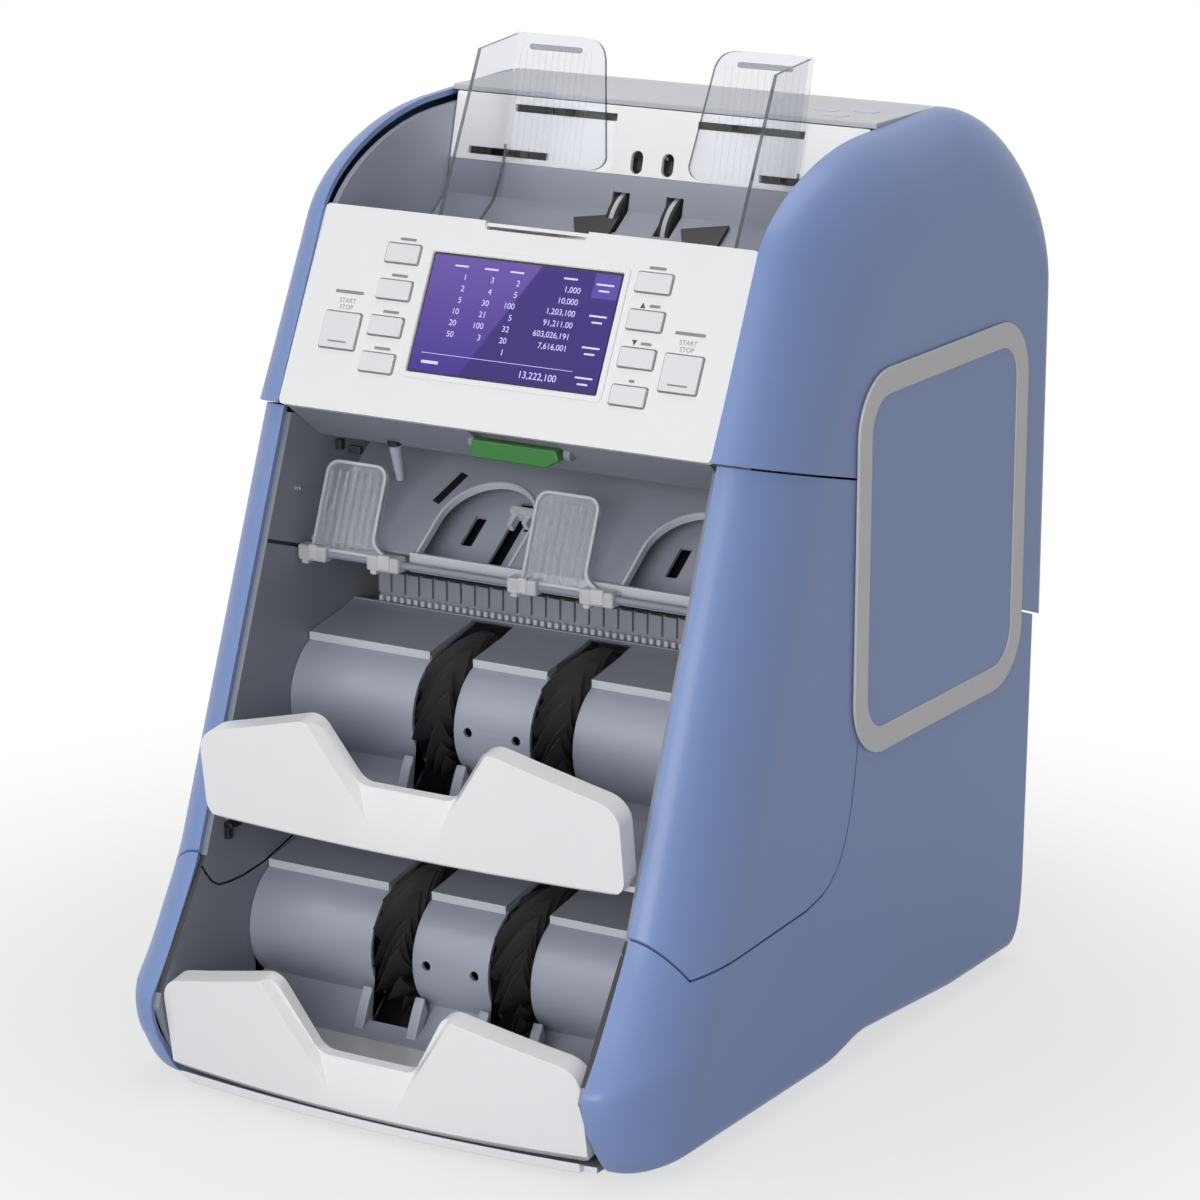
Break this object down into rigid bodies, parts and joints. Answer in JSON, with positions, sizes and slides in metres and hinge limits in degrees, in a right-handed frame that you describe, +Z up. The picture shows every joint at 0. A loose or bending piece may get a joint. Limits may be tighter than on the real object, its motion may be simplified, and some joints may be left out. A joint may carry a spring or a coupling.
{
  "type": "banknote counting machine",
  "caption": "Desktop banknote counting machine with a feed hopper and sliding guides, a screen and keys on a sloping panel, stacker pockets with finned wheels, and a reject pocket.",
  "frame": {"origin": "on the table, below the centre of the overall bounding box", "axes": "+Z up, -Y the front where the pockets and the control panel face, +X to the machine's right as seen from the front"},
  "size_m": [0.32, 0.442, 0.504],
  "materials": {
    "shell_blue": "satin",
    "panel_white": "satin",
    "inner_gray": "satin",
    "cover_gray": "satin",
    "ring_gray": "satin",
    "clear_plastic": "polished",
    "steel": "brushed",
    "motor_black": "satin",
    "rubber_black": "matte",
    "black_plastic": "satin",
    "lever_green": "gloss",
    "screen": "gloss",
    "board_green": "satin",
    "bronze": "satin",
    "tray_white": "satin"
  },
  "bodies": {
    "base": {"base_pan": "inner_gray", "rubber_feet": "rubber_black", "side_shell_left": "shell_blue", "side_shell_right": "shell_blue", "front_cover_left": "shell_blue", "front_cover_right": "shell_blue", "side_frame_left": "inner_gray", "side_frame_right": "inner_gray", "rear_cover": "cover_gray", "upper_drum": "inner_gray", "lower_drum": "inner_gray", "upper_deck": "inner_gray", "lower_deck": "inner_gray", "upper_tray": "tray_white", "lower_tray": "tray_white", "reject_bar": "cover_gray", "reject_plate": "inner_gray", "comb_guide": "inner_gray", "drive_motor": "motor_black", "power_supply": "steel", "main_board": "board_green", "power_inlet": "black_plastic", "shaft_bushes": "bronze", "hinge_brackets": "steel", "drive_belts": "rubber_black"},
    "head": {"head_shell_left": "shell_blue", "head_shell_right": "shell_blue", "hatch_rings": "ring_gray", "hatches": "shell_blue", "control_panel": "panel_white", "screen_module": "screen", "hopper_wall": "panel_white", "hopper_chute": "inner_gray", "top_cover": "cover_gray", "head_rear_cover": "cover_gray", "head_underside": "inner_gray", "head_frame": "inner_gray"},
    "release_lever": {"release_lever": "lever_green"},
    "guide_left": {"guide_left": "clear_plastic"},
    "guide_right": {"guide_right": "clear_plastic"},
    "guide_pinion": {"guide_pinion": "steel"},
    "feed_rollers": {"pickup_rollers": "rubber_black"},
    "rocker_switch": {"rocker_switch": "black_plastic"},
    "motor_pulley": {"motor_pulley": "steel"},
    "upper_stacker": {"upper_shaft": "steel", "upper_wheels": "rubber_black"},
    "lower_stacker": {"lower_shaft": "steel", "lower_wheels": "rubber_black"},
    "flap_left": {"flap_left": "clear_plastic"},
    "flap_right": {"flap_right": "clear_plastic"},
    "key_left_1": {"key_left_1": "panel_white"},
    "key_left_2": {"key_left_2": "panel_white"},
    "key_left_3": {"key_left_3": "panel_white"},
    "key_left_4": {"key_left_4": "panel_white"},
    "start_key_left": {"start_key_left": "panel_white"},
    "key_right_1": {"key_right_1": "panel_white"},
    "key_right_2": {"key_right_2": "panel_white"},
    "key_right_3": {"key_right_3": "panel_white"},
    "key_right_4": {"key_right_4": "panel_white"},
    "start_key_right": {"start_key_right": "panel_white"}
  },
  "joints": [
    {"name": "head_hinge", "type": "hinge", "parent": "base", "child": "head", "pos_m": [0, 0.205, 0.194], "axis": [-1, 0, 0], "range_deg": [0, 30]},
    {"name": "release_lever_pivot", "type": "hinge", "parent": "head", "child": "release_lever", "pos_m": [0.011, -0.0835, 0.324], "axis": [1, 0, 0], "range_deg": [0, 25], "stiffness_Nm_per_rad": 0.05, "springref_deg": -11.46},
    {"name": "guide_left_slide", "type": "slide", "parent": "head", "child": "guide_left", "axis": [1, 0, 0], "range_m": [-0.014, 0.013]},
    {"name": "guide_right_slide", "type": "slide", "parent": "head", "child": "guide_right", "axis": [1, 0, 0], "range_m": [-0.0135, 0.0145]},
    {"name": "guide_pinion_spin", "type": "hinge", "parent": "head", "child": "guide_pinion", "pos_m": [0, 0.06592, 0.45222], "axis": [0, 0.9715, -0.2368], "range_deg": [-110, 110]},
    {"name": "feed_rollers_spin", "type": "hinge", "parent": "head", "child": "feed_rollers", "pos_m": [0, 0.06639, 0.404], "axis": [1, 0, 0], "continuous": true},
    {"name": "rocker_switch_pivot", "type": "hinge", "parent": "base", "child": "rocker_switch", "pos_m": [-0.036, 0.206, 0.042], "axis": [1, 0, 0], "range_deg": [0, 16]},
    {"name": "motor_spin", "type": "hinge", "parent": "base", "child": "motor_pulley", "pos_m": [0, -0.0005, 0.084], "axis": [1, 0, 0], "continuous": true},
    {"name": "upper_stacker_spin", "type": "hinge", "parent": "base", "child": "upper_stacker", "pos_m": [0, -0.0635, 0.176], "axis": [1, 0, 0], "continuous": true},
    {"name": "lower_stacker_spin", "type": "hinge", "parent": "base", "child": "lower_stacker", "pos_m": [0, -0.103, 0.064], "axis": [1, 0, 0], "continuous": true},
    {"name": "flap_left_swing", "type": "hinge", "parent": "base", "child": "flap_left", "pos_m": [-0.097, -0.084, 0.254], "axis": [1, 0, 0], "range_deg": [-8, 30], "stiffness_Nm_per_rad": 0.1},
    {"name": "flap_right_swing", "type": "hinge", "parent": "base", "child": "flap_right", "pos_m": [0.029, -0.084, 0.254], "axis": [1, 0, 0], "range_deg": [-8, 30], "stiffness_Nm_per_rad": 0.1},
    {"name": "key_left_1_press", "type": "slide", "parent": "head", "child": "key_left_1", "axis": [0, 0.9011, -0.4337], "range_m": [0, 0.0008], "stiffness_N_per_m": 400, "springref_m": -0.0002},
    {"name": "key_left_2_press", "type": "slide", "parent": "head", "child": "key_left_2", "axis": [0, 0.9011, -0.4337], "range_m": [0, 0.0008], "stiffness_N_per_m": 400, "springref_m": -0.0002},
    {"name": "key_left_3_press", "type": "slide", "parent": "head", "child": "key_left_3", "axis": [0, 0.9011, -0.4337], "range_m": [0, 0.0008], "stiffness_N_per_m": 400, "springref_m": -0.0002},
    {"name": "key_left_4_press", "type": "slide", "parent": "head", "child": "key_left_4", "axis": [0, 0.9011, -0.4337], "range_m": [0, 0.0008], "stiffness_N_per_m": 400, "springref_m": -0.0002},
    {"name": "start_key_left_press", "type": "slide", "parent": "head", "child": "start_key_left", "axis": [0, 0.9011, -0.4337], "range_m": [0, 0.0008], "stiffness_N_per_m": 400, "springref_m": -0.0002},
    {"name": "key_right_1_press", "type": "slide", "parent": "head", "child": "key_right_1", "axis": [0, 0.9011, -0.4337], "range_m": [0, 0.0008], "stiffness_N_per_m": 400, "springref_m": -0.0002},
    {"name": "key_right_2_press", "type": "slide", "parent": "head", "child": "key_right_2", "axis": [0, 0.9011, -0.4337], "range_m": [0, 0.0008], "stiffness_N_per_m": 400, "springref_m": -0.0002},
    {"name": "key_right_3_press", "type": "slide", "parent": "head", "child": "key_right_3", "axis": [0, 0.9011, -0.4337], "range_m": [0, 0.0008], "stiffness_N_per_m": 400, "springref_m": -0.0002},
    {"name": "key_right_4_press", "type": "slide", "parent": "head", "child": "key_right_4", "axis": [0, 0.9011, -0.4337], "range_m": [0, 0.0008], "stiffness_N_per_m": 400, "springref_m": -0.0002},
    {"name": "start_key_right_press", "type": "slide", "parent": "head", "child": "start_key_right", "axis": [0, 0.9011, -0.4337], "range_m": [0, 0.0008], "stiffness_N_per_m": 400, "springref_m": -0.0002}
  ],
  "couplings": [
    {"joint": "guide_right_slide", "follows": "guide_left_slide", "ratio": -1},
    {"joint": "guide_pinion_spin", "follows": "guide_left_slide", "rad_per_m": 111.11},
    {"joint": "lower_stacker_spin", "follows": "upper_stacker_spin", "ratio": 1},
    {"joint": "motor_spin", "follows": "upper_stacker_spin", "ratio": 1.5556}
  ]
}
